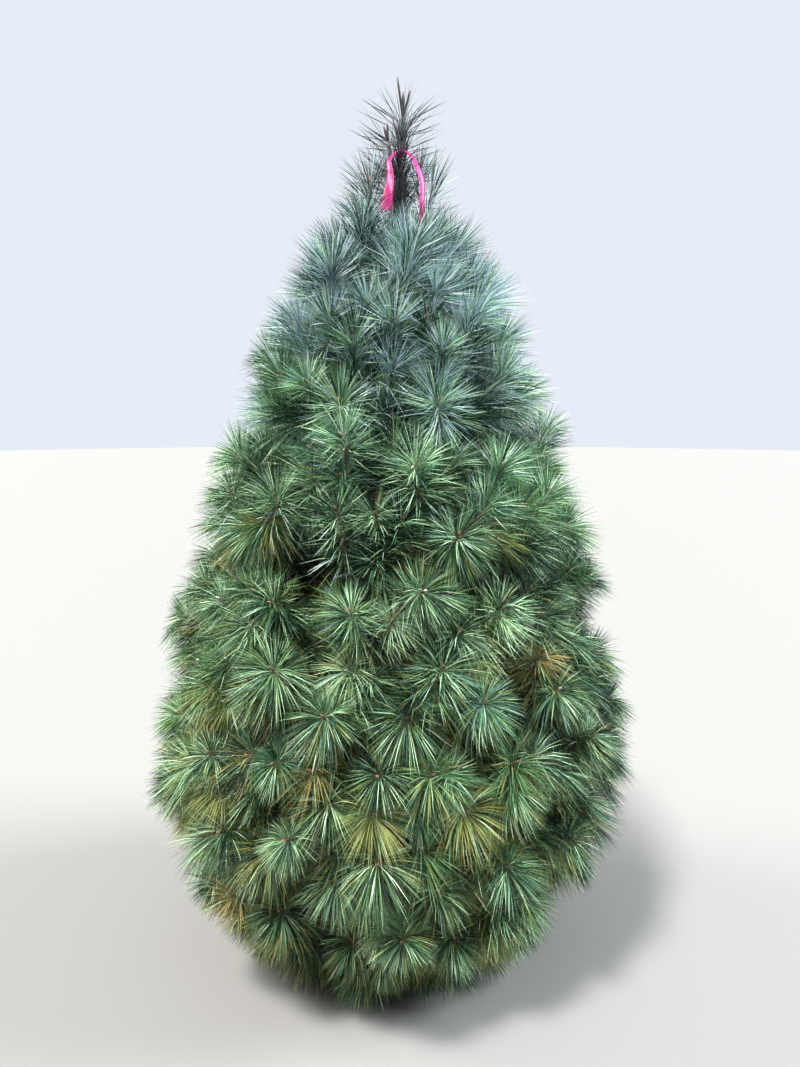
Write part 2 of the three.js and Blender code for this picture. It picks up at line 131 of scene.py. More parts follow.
STEM_STRIDE = 3  # points from one ring of a stem to the next
COLLAR_SWELL = 0.7  # of a bough's own radius, where it leaves the trunk
COLLAR_REACH = 0.02

# Shoots of the solids' rule, with their buds in rows and columns over the crown
SPRAY_WIDTH = 0.214  # crown surface that one spray of the solids covers
SPRAY_HEIGHT = 0.18
BUD_DEPTH = 0.112  # from the outline in to a shoot's bud
DEPTH_SCATTER = 0.12
COLUMN_SCATTER = 0.24  # share of a column's width
ROW_SCATTER = 0.3  # share of a row's height
LIFT_SCATTER = 14  # degrees
SWING_SCATTER = 0.3  # radians
SWING_SHARE = 0.8  # how far a shoot turns outwards with its place on the crown
FIRST_TWIG = 0.45  # where twigs start on a line that has no bough below
LAST_TWIG = 0.95
EARLY_TWIGS = 0.75  # the twigs to the sides leave the stem up to this share earlier
TWIG_BEND = 0.45

# Finer shoots that branch from those: their kind, how far across and up the spray their buds stand, how
# deep in the crown, and where along the shoot they start. Inner and old ones fill the crown behind.
SHOOT_STEP_OUT = 0.028  # how far a shoot goes on past the solids' bud
UPTURN = 0.9  # the most that it turns up there
STEP_SCATTER = 0.02
BRANCHES = [
    ("outer", 0.5, 0.5, 0.084, (0.45, 0.75)),
    ("inner", 0.5, 0.02, 0.12, (0.35, 0.7)),
    ("inner", 0.0, 0.5, 0.12, (0.35, 0.7)),
    ("old", 0.25, 0.25, 0.17, (0.15, 0.4)),
    ("old", -0.25, -0.25, 0.25, (0.15, 0.4)),
    ("old", 0.25, -0.25, 0.42, (0.15, 0.4)),
    ("old", -0.25, 0.25, 0.33, (0.15, 0.4)),
]
EDGE_SHARE = 0.02  # of a space's height, kept free at its roof and floor
SIDE_EDGE = 0.49  # the furthest bud to each side, as a share of its angle
CLUSTER_SIZE = 0.2  # of the places where the finer shoots keep in or stand out
CLUSTER_DEPTH = 0.07
CLUSTER_CONTRAST = 2
CLUSTER_OUT = -0.3  # the most that they stand out
BRANCH_SCATTER = 0.12  # of a spray's width and height
BRANCH_DEPTH_SCATTER = 0.034
BRANCH_LIFT_SCATTER = 44  # degrees
BRANCH_SWING_SCATTER = 0.7  # radians
HOLLOW_SHARE = 0.3  # lower part of a space, where the finer shoots keep further in
HOLLOW_DEPTH = 0.09
# Deeper hollows that are seen in front: their height, turn from the front towards +X in degrees, how
# tall and wide they are, in metres and degrees, and how deep
HOLLOWS = [
    (1.27, -21, 0.045, 9, 0.36),
    (1.24, -1, 0.045, 9, 0.36),
    (1.31, -38, 0.03, 6, 0.15),
    (1.20, 26, 0.025, 6, 0.15),
    (1.045, 4, 0.03, 6, 0.16),
    (1.04, 31, 0.03, 6, 0.16),
    (0.87, -40, 0.045, 8, 0.12),
    (1.05, -31, 0.04, 5, 0.14),
    (0.68, -27, 0.03, 7, 0.12),
    (0.55, 12, 0.04, 8, 0.14),
    (0.57, 30, 0.06, 7, 0.1),
]
SHOOT_POINTS = 7
TWIG_SIDES = 4
DARK_TWIGS_FROM = 1.9  # height from which the twigs are as dark as the leader
TWIG_FOOT_RADIUS = 0.0036
TWIG_TIP_RADIUS = 0.0024

# Needles, in bundles from one root
NEEDLES_ON = dict(outer=660, inner=450, old=220)
BUNDLE = 2
BUNDLE_SPREAD = 10  # degrees
NEEDLE_LENGTHS = (0.1, 0.122)  # low and high in the crown
TUFT_SIZE_SCATTER = 0.18  # of a shoot's needles together
LENGTH_SCATTER = 0.12
NEEDLE_WIDTHS = (0.0017, 0.00195)
OLD_NEEDLE_SIZE = 1.35  # times the length and width of the others
HIGH_COUNT = 0.85  # times the needles, high in the crown
WIDTH_SCATTER = 0.15
BEND_AT = 0.5
UPRIGHT_SINK = 0.4  # share of its droop that an upright needle has too
BARE_TIP = 0.013  # of a shoot, behind its bud
TUFT_CROWDING = 1.6  # of the needles towards a shoot's tip
REACH_SCATTER = 0.3
SPREAD_SCATTER = 26  # degrees
GOLDEN_TURN = 2.399963
TURN_SCATTER = 0.5
# Low and high in the crown: how far down a shoot its needles go, how far they spread from it at its
# tip and at the tuft's foot, in degrees, and the share of a needle's length that its tip sinks
TUFT_HEIGHTS = (1.0, 1.9)
LOW_TUFT = dict(reach=0.085, tip_spread=48, foot_spread=94, droop=0.26)
HIGH_TUFT = dict(reach=0.19, tip_spread=30, foot_spread=66, droop=0.08)
THIN_HEIGHTS = (1.92, 2.09)  # where the sprays begin to thin, and where they are thinnest
THIN_SHARE = 0.28
BARE_INSIDE = 1.97  # above this height there are no inner and old shoots
OVERHANG_HEIGHTS = (1.0, 1.8, 2.02)
OVERHANGS = (0.016, 0.042, 0.12)  # how far a tip may stand past the outline at those heights
CUTTING_ROUNDS = 6
CUT_SHARE = 0.9  # of its length that such a needle keeps in each round
SHORTEST_SHARE = 0.55  # a needle that has to be cut back further than this is left out

# Buds at a shoot's tip
BUD_LENGTH = 0.012
BUD_RADIUS = 0.0029
SIDE_BUDS = 2
SIDE_BUD_SHARE = 0.7  # of the middle one's length
SIDE_BUD_LEAN = 35  # degrees
BUD_SIDES = 4
BUD_PROFILE = [(0, 0.7), (0.4, 1.0), (0.85, 0.35)]  # shares of its length and radius
BUD_SIZE_SCATTER = 0.2
BUD_TURN_SCATTER = 0.4  # radians
RESIN_SHARE = 0.16  # of the buds that are white with resin

# Leader above the fork, and the side leader that runs up beside it
LEADER_TOP = 2.302
LEADER_LEAN = 0.006
LEADER_TAPER = 0.35
LEADER_POINTS = 16
LEADER_SIDES = 12
DARK_BARK_FROM = 2.0  # this year's bark, which starts a little below the fork
BARK_SKIN = 0.001
SKIN_RINGS = 12
SIDE_LEADER_FOOT = (-0.008, -0.006, 2.02)
SIDE_LEADER_BEND = (-0.010, -0.012, 2.15)
SIDE_LEADER_TOP = 2.238
SIDE_LEADER_OUT = 0.034  # towards -X
SIDE_LEADER_FORWARD = 0.008
SIDE_LEADER_RADIUS = 0.0075
SIDE_LEADER_TAPER = 0.3
SIDE_LEADER_SIDES = 10
CANDLES = [(0.096, -9), (0.062, 0), (0.066, 17)]  # their lengths, and their lean in degrees
SIDE_CANDLES = [(0.046, -2), (0.040, -16)]
CANDLE_RADIUS = 0.0039
CANDLE_PROFILE = (0.8, 0.9, 1.0, 0.95, 0.88, 0.75, 0.4)  # shares of it up to the tip
CANDLE_SIDES = 8
CANDLE_FORWARD = 0.3  # share of its lean
CANDLE_ROOT = 0.2  # share of its length sunk in the leader
LEADER_NEEDLE = 0.128
LEADER_NEEDLES_FROM = 1.99
POINTS_BELOW = 8  # from there to the fork
LEADER_TUFT = dict(reach=0.27, tip_spread=50, foot_spread=98, droop=0.04)
LEADER_NEEDLES = 170
CLINGING_TUFT = dict(reach=0.22, tip_spread=11, foot_spread=19, droop=0)
CLINGING_NEEDLES = 240
CLINGING_ENDS = (6, 14)  # points short of the leader's tip where a tuft of them ends
CLINGING_LENGTH = 0.09
LEADER_NEEDLE_WIDTH = 0.0027
SIDE_LEADER_TUFT = dict(reach=0.09, tip_spread=34, foot_spread=88, droop=0.04)
SIDE_LEADER_NEEDLES = 44

# Plastic tape over the leader: points along it with the turn of its face from the viewer, in degrees
TAPE_WIDTH = 0.03
TAPE_THICKNESS = 0.0004
TAPE_CURL = 0.003
TAPE_CUT = 0.35  # slant of its left end
TAPE_COLUMNS = 7  # points across it
TAPE_CLEAR = 0.013  # from it to the nearest needle
SHOOT_CLEAR = 0.05  # from it, and from the stem's front, to the nearest shoot's tip
OPEN_STEM = (2.05, 2.2)  # heights between which the stem's front is kept open
OPEN_STEM_POINTS = 8
STEM_FRONT = 0.06  # how far before the stem that front is
TAPE_POINTS = [
    (-0.031, -0.066, 2.056, 5),
    (-0.025, -0.064, 2.090, 28),
    (-0.019, -0.056, 2.133, 52),
    (-0.022, -0.046, 2.163, 63),
    (-0.024, -0.038, 2.183, 62),
    (-0.012, -0.028, 2.205, 70),
    (0.008, -0.024, 2.215, 76),
    (0.030, -0.026, 2.207, 68),
    (0.045, -0.031, 2.184, 60),
    (0.057, -0.038, 2.155, 57),
    (0.065, -0.045, 2.129, 60),
    (0.064, -0.053, 2.092, 64),
    (0.062, -0.060, 2.056, 66),
    (0.062, -0.064, 2.031, 68),
]
TIE_HEIGHT = 2.203
TIE_WIDTH = 0.012
TIE_GAP = 0.001  # from the leader's bark
TIE_POINTS = 33
CORNER_CUTS = 3  # rounds in which the tape's line is smoothed
CORNER_SHARE = 0.25

# Photograph's view
CAMERA_PLACE = (0.006, -2.25, 1.55)
CAMERA_TILT = 81  # degrees up from straight down
CAMERA_LENS = 27  # mm
CAMERA_FILM = 36  # mm, its long side

MASK = 0xFFFFFFFF
UP = np.array([0.0, 0.0, 1.0])
LEANING = np.array([0.13, 0.09, 1.0])  # never along a shoot
SEED = 77


def seeded(seed):
    """Random numbers from 0 to 1 by the same rule as in the solids' source."""
    state = seed

    def draw():
        nonlocal state
        state = (state + 0x6D2B79F5) & MASK
        t = state
        t = ((t ^ (t >> 15)) * (t | 1)) & MASK
        t ^= (t + (((t ^ (t >> 7)) * (t | 61)) & MASK)) & MASK
        return ((t ^ (t >> 14)) & MASK) / 4294967296

    return draw


def scattered(draw, width):
    return width * (draw() - 0.5)


def direction(lift, swing):
    """The way that points up by lift and turns from +X by swing, both in radians."""
    return np.array(
        [math.cos(lift) * math.cos(swing), math.cos(lift) * math.sin(swing), math.sin(lift)]
    )


# The crown's and the trunk's shape

def crown_reach(height, azimuth):
    """How far from the axis the needle tips reach."""
    above = np.clip((height - BELLY_HEIGHT) / (CROWN_TOP - BELLY_HEIGHT), 0, 1)
    below = np.clip((BELLY_HEIGHT - height) / BELLY_HEIGHT, 0, None)
    drawn_in = above**UPPER_POWER + FOOT_DRAW_IN * below**LOWER_POWER
    swell = LEFT_SWELL * np.cos(azimuth) * np.clip(1 - height / SWELL_TOP, 0, None)
    return BELLY_RADIUS * (1 - drawn_in) * (1 - swell)


def trunk_radius(height, azimuth):
    share = height / FORK_HEIGHT
    flare = math.exp(-height / FLARE_HEIGHT)
    plain = TRUNK_RADIUS + (FORK_RADIUS - TRUNK_RADIUS) * share + FLARE_RADIUS * flare
    return plain * (1 + LOBE_DEPTH * flare * math.cos(FLARE_LOBES * azimuth))


def trunk_centre(height):
    share = height / FORK_HEIGHT
    across = TRUNK_LEAN * share**2 - TRUNK_SWEEP * math.sin(math.pi * share)
    return np.array([across, TRUNK_WAVE * math.sin(2 * math.pi * share), height])


def trunk_line(foot, points):
    """Points up the middle of the trunk, from a height to the fork."""
    return np.array([trunk_centre(height) for height in np.linspace(foot, FORK_HEIGHT, points)])


def curve(start, bend, end, points):
    """Points along a quadratic curve."""
    at = np.linspace(0, 1, points)[:, None]
    return (1 - at) ** 2 * start + 2 * at * (1 - at) * bend + at**2 * end


class Space:
    """The space of one mass: a sector of a whorl, in a frame turned so that its middle is +X."""

    def __init__(self, index, number):
        self.index = index
        self.whorl = WHORLS[index]
        self.angle = 2 * math.pi / self.whorl["boughs"]
        self.azimuth = math.radians(self.whorl["turn"]) + number * self.angle - math.pi / 2
        self.origin = trunk_centre(self.whorl["attach"]) * (1, 1, 0)
        self.draw = seeded(1000 * (index + 1) + number)
        self.stem_end = self.place(0.5, 0, STEM_DEPTH, STEM_SHARE)
        self.seam = max(SHORTEST_BOUGH, 1 - (MASS_DEPTH - STEM_DEPTH) / self.stem_end[0])

    def cone(self, whorl, radius):
        return whorl["roof"] - whorl["slope"] * (crown_reach(whorl["roof"], math.pi / 2) - radius)

    def floor(self, radius):
        if self.index == 0:
            return GROUND_GAP
        return self.cone(WHORLS[self.index - 1], radius) + SPACE_GAP

    def roof(self, radius):
        return self.cone(self.whorl, radius) - SPACE_GAP

    def place(self, share, turn, depth, depth_share=1):
        """The point at a share of the space's height, a turn from its middle and a depth."""
        height = self.whorl["roof"]
        for _ in range(SETTLING_ROUNDS):
            reach = crown_reach(height, self.azimuth + turn)
            radius = reach - min(depth, depth_share * reach)
            height = self.floor(radius) + share * (self.roof(radius) - self.floor(radius))
        return np.array([radius * math.cos(turn), radius * math.sin(turn), height])

    def on_tree(self, points):
        """Turns points or ways from the space's frame into the tree's."""
        cos, sin = math.cos(self.azimuth), math.sin(self.azimuth)
        return points @ np.array([[cos, sin, 0], [-sin, cos, 0], [0, 0, 1]]) + self.origin

    def limb_line(self, points):
        attach = self.whorl["attach"]
        rise = self.stem_end[2] - attach
        bend = (BEND_OUT * self.stem_end[0], 0, attach + BEND_UP * rise)
        return curve((0, 0, attach), bend, self.stem_end, points)

    def limb_point(self, at):
        return self.limb_line(BOUGH_RINGS * 3)[round(at * (BOUGH_RINGS * 3 - 1))]

    def limb_radius(self, at):
        thick = BOUGH_RADIUS - BOUGH_THINNING * self.index
        return thick * (1 - (1 - BOUGH_TAPER) * at)

    def shoots(self):
        """The solids' rule: each shoot's foot on the stem, bud, way and place in the space."""
        draw = self.draw
        first = self.seam if self.whorl["limbs"] else FIRST_TWIG
        slant = self.place(0, 0, BUD_DEPTH) - self.place(1, 0, BUD_DEPTH)
        rows = math.floor(np.linalg.norm(slant) / SPRAY_HEIGHT + 0.5)
        for row in range(rows):
            share = (row + 0.5) / rows
            width = self.place(share, 0, BUD_DEPTH)[0] * self.angle
            columns = max(1, math.floor(width / SPRAY_WIDTH + 0.5))
            for column in range(columns):
                across = (column + 0.5 + scattered(draw, COLUMN_SCATTER)) / columns - 0.5
                turn = across * self.angle
                height = share + scattered(draw, ROW_SCATTER) / rows
                depth = BUD_DEPTH * (1 + DEPTH_SCATTER * (2 * draw() - 1))
                bud = self.place(height, turn, depth)
                lift = math.radians(self.whorl["lift"] + scattered(draw, LIFT_SCATTER))
                swing = turn * SWING_SHARE + scattered(draw, SWING_SCATTER)
                early = EARLY_TWIGS * 2 * abs(across) * draw()
                foot = self.limb_point(first + (1 - first) * (LAST_TWIG - early))
                cell = (height, across, 1 / rows, 1 / columns)
                yield foot, bud, direction(lift, swing), cell


# Meshes from arrays of points and triangles

def joined(parts):
    """One array of points and one of triangles from several of each."""
    starts = np.cumsum([0] + [len(points) for points, _ in parts[:-1]])
    points = np.concatenate([points for points, _ in parts])
    faces = np.concatenate([faces + start for (_, faces), start in zip(parts, starts)])
    return points, faces


def piece(name, parts, material, nodes=(), slot=None):
    """A joined mesh that rides on the tree."""
    points, faces = joined(parts)
    mesh = bpy.data.meshes.new(name)
    mesh.vertices.add(len(points))
    mesh.vertices.foreach_set("co", points.astype(np.float32).ravel())
    mesh.loops.add(faces.size)
    mesh.loops.foreach_set("vertex_index", faces.astype(np.int32).ravel())
    mesh.polygons.add(len(faces))
    mesh.polygons.foreach_set("loop_start", np.arange(0, faces.size, 3, dtype=np.int32))
    mesh.polygons.foreach_set("use_smooth", np.full(len(faces), True))
    mesh.update(calc_edges=True)
    mesh.materials.append(material)
    made = bpy.data.objects.new(name, mesh)
    bpy.context.scene.collection.objects.link(made)
    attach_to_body(made, "root")
    if nodes:
        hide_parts(*nodes)


def lengths(path):
    """The distance along a path to each of its points."""
    return np.concatenate([[0], np.cumsum(np.linalg.norm(np.diff(path, axis=0), axis=1))])


def unit(ways):
    return ways / np.linalg.norm(ways, axis=-1, keepdims=True)


def square_to(ways):
    """Two ways square to each of some ways, and to each other."""
    side = unit(np.cross(LEANING, ways))
    return side, np.cross(ways, side)


def walls(rings, sides):
    """The triangles between rings of points."""
    ring, k = np.meshgrid(np.arange(rings - 1), np.arange(sides), indexing="ij")
    a = ring * sides + k
    b = ring * sides + (k + 1) % sides
    return np.stack([a, b, b + sides, a, b + sides, a + sides], axis=-1).reshape(-1, 3)


def tube(path, radii, sides, level=False):
    """A tube along a path, closed by a point at each end. Radii may vary round each ring."""
    rings = len(path)
    side, other = square_to(np.tile(UP, (rings, 1)) if level else unit(np.gradient(path, axis=0)))
    turns = np.arange(sides) * 2 * math.pi / sides
    radii = np.broadcast_to(np.asarray(radii).reshape(rings, -1), (rings, sides))[..., None]
    ring_ways = side[:, None] * np.cos(turns)[:, None] + other[:, None] * np.sin(turns)[:, None]
    points = (path[:, None] + radii * ring_ways).reshape(-1, 3)
    first, last = len(points), len(points) + 1
    k = np.arange(sides)
    after = (k + 1) % sides
    foot = np.stack([after, k, np.full(sides, first)], axis=-1)
    top = (rings - 1) * sides
    head = np.stack([top + k, top + after, np.full(sides, last)], axis=-1)
    points = np.concatenate([points, path[:1], path[-1:]])
    return points, np.concatenate([walls(rings, sides), foot, head])


def blades(roots, middles, tips, width, rolls):
    """Needles: each a narrow blade of two faces that bends at its middle and ends in a point."""
    side, other = square_to(unit(tips - roots))
    across = side * np.cos(rolls)[:, None] + other * np.sin(rolls)[:, None]
    edge = across * width[:, None] / 2
    points = np.stack([roots, middles + edge, tips, middles - edge], axis=1).reshape(-1, 3)
    faces = np.array([[0, 1, 3], [3, 1, 2]]) + 4 * np.arange(len(roots))[:, None, None]
    return points, faces.reshape(-1, 3)


# Growing the shoots

class Shoot:
    """A twig's path up to its bud, with the bud's height, the twig's whorl and its kind."""

    def __init__(self, foot, bud, way, whorl, kind="outer"):
        bend = bud - way * TWIG_BEND * np.linalg.norm(bud - foot)
        self.path = curve(foot, bend, bud, SHOOT_POINTS)
        self.height = self.path[-1][2]
        self.way = way
        self.whorl = whorl
        self.kind = kind

    def point(self, share):
        return self.path[round(share * (SHOOT_POINTS - 1))]

    def tuft(self):
        """How its needles stand, by its height in the crown."""
        ends = {key: (low, HIGH_TUFT[key]) for key, low in LOW_TUFT.items()}
        return {key: np.interp(self.height, TUFT_HEIGHTS, pair) for key, pair in ends.items()}

    def count(self):
        share = np.interp(self.height, TUFT_HEIGHTS, (1, HIGH_COUNT))
        thinned = np.interp(self.height, THIN_HEIGHTS, (1, THIN_SHARE))
        return round(NEEDLES_ON[self.kind] * share * thinned)

    def needle_size(self):
        """The length and width of its needles."""
        size = OLD_NEEDLE_SIZE if self.kind == "old" else 1
        ends = (NEEDLE_LENGTHS, NEEDLE_WIDTHS)
        return [size * np.interp(self.height, TUFT_HEIGHTS, pair) for pair in ends]


def hollow_depth(place):
    """How much further in the shoots keep at the seen hollows, for a place on the crown."""
    turn = math.degrees(math.atan2(place[0], -place[1]))
    depth = 0
    for height, middle, tall, wide, deep in HOLLOWS:
        up = (place[2] - height) / tall
        aside = (turn - middle) / wide
        depth += deep * math.exp(-(up**2) - aside**2)
    return depth


def grown_shoots(space, random):
    """The solids' shoots of a space, carried on a little, and the finer ones that branch from them."""
    grown = []
    for foot, bud, way, (height, across, row, column) in space.shoots():
        step = SHOOT_STEP_OUT + STEP_SCATTER * random.uniform(-1, 1)
        step -= hollow_depth(space.on_tree(space.place(height, across * space.angle, 0)))
        way = unit(way + random.uniform(0, UPTURN) * UP)
        parent = Shoot(
            space.on_tree(foot),
            space.on_tree(bud + step * way),
            space.on_tree(way) - space.origin,
            space.index,
        )
        grown.append(parent)
        for kind, aside, up, deep, leaves_at in BRANCHES:
            rise = (up + random.normal(0, BRANCH_SCATTER)) * row
            share = np.clip(height + rise, EDGE_SHARE, 1 - EDGE_SHARE)
            shift = (aside + random.normal(0, BRANCH_SCATTER)) * column
            turn = np.clip(across + shift, -SIDE_EDGE, SIDE_EDGE) * space.angle
            depth = deep + random.uniform(-1, 1) * BRANCH_DEPTH_SCATTER
            if space.index:
                depth += HOLLOW_DEPTH * max(0, 1 - share / HOLLOW_SHARE)
            surface = Vector(space.on_tree(space.place(share, turn, 0)))
            cluster = noise.noise(surface / CLUSTER_SIZE) * CLUSTER_CONTRAST
            depth += CLUSTER_DEPTH * max(CLUSTER_OUT, cluster)
            depth += hollow_depth(surface)
            bud = space.on_tree(space.place(share, turn, depth, STEM_SHARE))
            lift = space.whorl["lift"] + random.uniform(-0.5, 0.5) * BRANCH_LIFT_SCATTER
            swing = turn * SWING_SHARE + random.uniform(-0.5, 0.5) * BRANCH_SWING_SCATTER
            way = direction(math.radians(lift), swing + space.azimuth)
            foot = parent.point(random.uniform(*leaves_at))
            if kind == "outer" or bud[2] < BARE_INSIDE:
                grown.append(Shoot(foot, bud, way, space.index, kind))
    return grown


class Needles:
    """Bundles of needles along the end of a path, most spread at the foot of their tuft."""

    def __init__(self, path, count, length, tuft, random, bundle=BUNDLE):
        along = lengths(path)
        bundles = count // bundle
        age = random.uniform(0, 1, bundles) ** TUFT_CROWDING
        reach = tuft["reach"] * (1 + REACH_SCATTER * random.uniform(-1, 1))
        at = along[-1] - BARE_TIP - age * min(reach, along[-1] - BARE_TIP)
        roots = np.stack([np.interp(at, along, path[:, k]) for k in range(3)], axis=1)
        tangents = np.gradient(path, axis=0)
        ways = unit(np.stack([np.interp(at, along, tangents[:, k]) for k in range(3)], axis=1))
        turn = np.arange(bundles) * GOLDEN_TURN + random.uniform(-0.5, 0.5, bundles) * TURN_SCATTER
        spread = tuft["tip_spread"] + (tuft["foot_spread"] - tuft["tip_spread"]) * age
        spread = np.radians(spread + random.uniform(-0.5, 0.5, bundles) * SPREAD_SCATTER)
        side, other = square_to(ways)
        round_way = side * np.cos(turn)[:, None] + other * np.sin(turn)[:, None]
        ways = ways * np.cos(spread)[:, None] + round_way * np.sin(spread)[:, None]
        scatter = random.normal(0, math.radians(BUNDLE_SPREAD), (bundles * bundle, 3))
        self.age = age
        self.droop = tuft["droop"]
        self.roots = np.repeat(roots, bundle, axis=0)
        self.ways = unit(np.repeat(ways, bundle, axis=0) + scatter * (bundle > 1))
        self.lengths = length * (1 + LENGTH_SCATTER * random.uniform(-1, 1, bundles * bundle))
        self.bend()

    def bend(self):
        """Places each needle's middle and tip, the tip drooping with its reach to the side."""
        length = self.lengths[:, None]
        level = np.linalg.norm(self.ways[:, :2], axis=1)[:, None]
        sink = self.droop * (UPRIGHT_SINK + (1 - UPRIGHT_SINK) * level) * UP
        self.middles = self.roots + (self.ways - sink * BEND_AT) * length * BEND_AT
        self.tips = self.roots + (self.ways - sink) * length

    def fit(self):
        """Cuts back the needles that stand out past the outline or into the ground."""
        for _ in range(CUTTING_ROUNDS):
            azimuth = np.arctan2(self.tips[:, 1], self.tips[:, 0])
            radius = np.linalg.norm(self.tips[:, :2], axis=1)
            overhang = np.interp(self.tips[:, 2], OVERHANG_HEIGHTS, OVERHANGS)
            out = radius - crown_reach(self.tips[:, 2], azimuth) > overhang
            out |= self.tips[:, 2] < GROUND_GAP
            self.lengths[out] *= CUT_SHARE
            self.bend()
        return (self.lengths > SHORTEST_SHARE * NEEDLE_LENGTHS[0]) & (self.tips[:, 2] > GROUND_GAP)

    def clear_of(self, line):
        """Which needles keep clear of a line."""
        lower = (self.roots + self.middles) / 2
        upper = (self.middles + self.tips) / 2
        places = (lower, self.middles, upper, self.tips)
        gaps = [np.linalg.norm(place[:, None] - line, axis=2).min(axis=1) for place in places]
        return np.min(gaps, axis=0) > TAPE_CLEAR


# Colours of the needles: a spray's place on the crown deals them out, and with them painted light and
# shade

TINTS = {
    # painted shade: near-black needles that stand in for the shade inside and under the crown
    "deep": (0.011, 0.025, 0.016),
    "green": (0.092, 0.215, 0.078),
    "blue": (0.080, 0.205, 0.135),
    # painted light: pale blue-grey needles that stand in for sky light high in the crown and on its
    # right
    "skylit": (0.340, 0.490, 0.540),
    # partly the needles' own whitish lines, partly painted highlights of needles that catch the light
    "pale": (0.420, 0.640, 0.380),
    # painted highlight: near-white needles that stand in for sky light caught high in the crown
    "sky_highlight": (0.640, 0.760, 0.780),
    "yellow": (0.210, 0.240, 0.060),
    "gold": (0.300, 0.235, 0.068),
    "shade": (0.042, 0.060, 0.062),
}
TINT_NAMES = list(TINTS)
# Shares of the tints in the sprays of each kind, at five heights. They paint light and shade: more of
# the deep tint low down, near the leader and in inner and old sprays is painted shade, and the paler
# tints up the crown are painted light
SHARE_HEIGHTS = (0.25, 1.18, 1.5, 1.85, 2.08)
SHARES = {
    "outer": dict(
        deep=(0.62, 0.44, 0.20, 0.20, 0.60), green=(0.24, 0.28, 0.22, 0.06, 0.06),
        blue=(0.12, 0.20, 0.22, 0.10, 0.14), skylit=(0, 0, 0.02, 0.48, 0.22),
        pale=(0.17, 0.27, 0.44, 0.10, 0), sky_highlight=(0, 0, 0.05, 0.20, 0.04), yellow=(0.05, 0.02, 0, 0, 0),
    ),
    "inner": dict(
        deep=(0.44, 0.50, 0.48, 0.40, 0.70), green=(0.20, 0.23, 0.26, 0.06, 0.05),
        blue=(0.06, 0.14, 0.20, 0.12, 0.10), skylit=(0, 0, 0, 0.42, 0.15),
        pale=(0.05, 0.06, 0.05, 0, 0), sky_highlight=(0, 0, 0, 0.04, 0), yellow=(0.50, 0.12, 0, 0, 0),
        gold=(0.28, 0.08, 0, 0, 0),
    ),
    "old": dict(
        deep=(0.50, 0.74, 0.72, 0.60, 0.70), green=(0.10, 0.14, 0.12, 0.04, 0.04),
        blue=(0, 0.04, 0.06, 0.10, 0.10), skylit=(0, 0, 0, 0.16, 0.10), yellow=(0.70, 0.14, 0, 0, 0),
        gold=(0.50, 0.12, 0, 0, 0),
    ),
}
NONE = (0,) * len(SHARE_HEIGHTS)
MIXED_IN = ("pale", "sky_highlight", "yellow")  # never an outer spray's own tint
# How much of its share each tint gains on the left, -X, and loses on the right. This is mostly painted
# light: the left is paler and yellower, the right bluer and darker
MORE_ON_LEFT = dict(deep=-0.15, green=0.4, blue=-0.4, skylit=-0.6, pale=0.3, yellow=0.8, gold=1.0)
OWN_SHARE = dict(outer=0.22, inner=0.5, old=0.6)  # of a spray's needles that take its own tint
HOLLOW_SHADE = 14  # more of the deep tint at a seen hollow, per metre that it is deep
YELLOW_BELOW = 1.4  # below this height the older needles turn yellow
YELLOW_SHARE = 0.65  # of the oldest ones at the ground


def spray_shares(shoot):
    """How much of each tint a spray has, by its kind and place; the shares paint in light and shade."""
    given = [SHARES[shoot.kind].get(name, NONE) for name in TINTS]
    shares = [np.interp(shoot.height, SHARE_HEIGHTS, row) for row in given]
    right = shoot.path[-1][0]
    left = [1 - MORE_ON_LEFT.get(name, 0) * right / BELLY_RADIUS for name in TINTS]
    weights = np.array(shares) * np.clip(left, 0, None)
    weights[TINT_NAMES.index("deep")] *= 1 + HOLLOW_SHADE * hollow_depth(shoot.path[-1])
    return weights / weights.sum()


def dealt_tints(shoot, ages, random):
    """A tint for each needle: some take the spray's own, and older ones are yellower."""
    shares = spray_shares(shoot)
    own = random.choice(len(TINTS), p=shares)
    mixed = shoot.kind == "outer" and TINT_NAMES[own] in MIXED_IN
    share = 0 if mixed else OWN_SHARE[shoot.kind]
    dealt = random.choice(len(TINTS), len(ages), p=shares)
    tints = np.where(random.uniform(0, 1, len(ages)) < share, own, dealt)
    low = max(0, 1 - shoot.height / YELLOW_BELOW)
    turning = random.uniform(0, 1, len(ages)) < YELLOW_SHARE * low * ages
    return np.where(turning, TINT_NAMES.index("yellow"), tints)


# Materials

MOTTLE_INPUTS = ("Blotch scale", "Grain scale", "Grain share", "Stretch")
MASK_RANGE = (0.3, 0.7)  # of the noise, which is spread to a mask from 0 to 1
NEEDLE_MOTTLE = (14, 90, 0.3, 1)
NEEDLE_ROUGHNESS = (0.35, 0.58)
NEEDLE_SHEEN = 0.5
DEEP_SHEEN = 0.2  # of the deep ones, whose colour is painted shade
RELIEF_DEPTH = 0.001
# The other materials: two colours, the mottle's values, two roughnesses and the relief's strength
SKINS = {
    "bark": ((0.055, 0.045, 0.036), (0.20, 0.175, 0.145), (30, 260, 0.4, 0.5), (0.8, 0.95), 0.6),
    "twig bark": ((0.080, 0.026, 0.022), (0.24, 0.085, 0.065), (60, 500, 0.4, 1), (0.6, 0.8), 0.3),
    "bud scales": ((0.18, 0.065, 0.055), (0.40, 0.20, 0.165), (150, 900, 0.5, 1), (0.45, 0.7), 0.3),
    "bud resin": ((0.45, 0.36, 0.35), (0.75, 0.70, 0.69), (150, 900, 0.5, 1), (0.25, 0.5), 0.3),
    "leader bark": ((0.042, 0.047, 0.054), (0.14, 0.145, 0.155), (90, 500, 0.5, 0.3), (0.7, 0.9), 0.5),
    "candle scales": (
        (0.018, 0.014, 0.015), (0.055, 0.040, 0.036), (120, 700, 0.5, 1), (0.5, 0.75), 0.3,
    ),
    "pink plastic": ((0.52, 0.010, 0.16), (0.62, 0.030, 0.24), (45, 400, 0.2, 1), (0.3, 0.45), 0.15),
}


